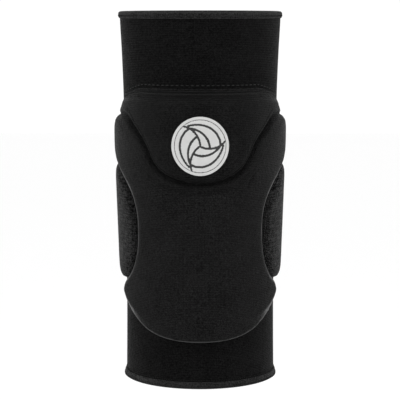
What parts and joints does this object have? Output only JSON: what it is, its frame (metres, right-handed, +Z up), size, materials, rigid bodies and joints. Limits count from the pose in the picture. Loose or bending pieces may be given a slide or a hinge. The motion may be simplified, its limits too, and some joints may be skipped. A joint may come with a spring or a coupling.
{
  "type": "volleyball knee pad",
  "caption": "Black knitted sleeve knee pad in its worn form, with a bowl-shaped pad above the knee, a winged main pad over it and crescent pads at the sides.",
  "frame": {"origin": "on the axis of the leg, at the middle of the kneecap", "axes": "+Z up the leg towards the thigh, -Y forwards out of the kneecap, +X to the right seen from the front"},
  "size_m": [0.117, 0.1173, 0.25],
  "materials": {
    "sleeve_knit": "fine black jersey knit, matt with a faint sheen",
    "hem_knit": "black ribbed elastic binding, matt",
    "pad_cover": "black knit stretched over foam, matt with a faint sheen",
    "seam_knit": "black sewn knit strip with overlock stitches",
    "badge_thread": "white satin-stitch embroidery"
  },
  "bodies": {
    "root": {"sleeve": "sleeve_knit", "upper_hem": "hem_knit", "lower_hem": "hem_knit", "main_pad": "pad_cover", "upper_pad": "pad_cover", "side_pad_left": "pad_cover", "side_pad_right": "pad_cover", "pocket_seam": "seam_knit", "badge": "badge_thread"}
  },
  "joints": []
}
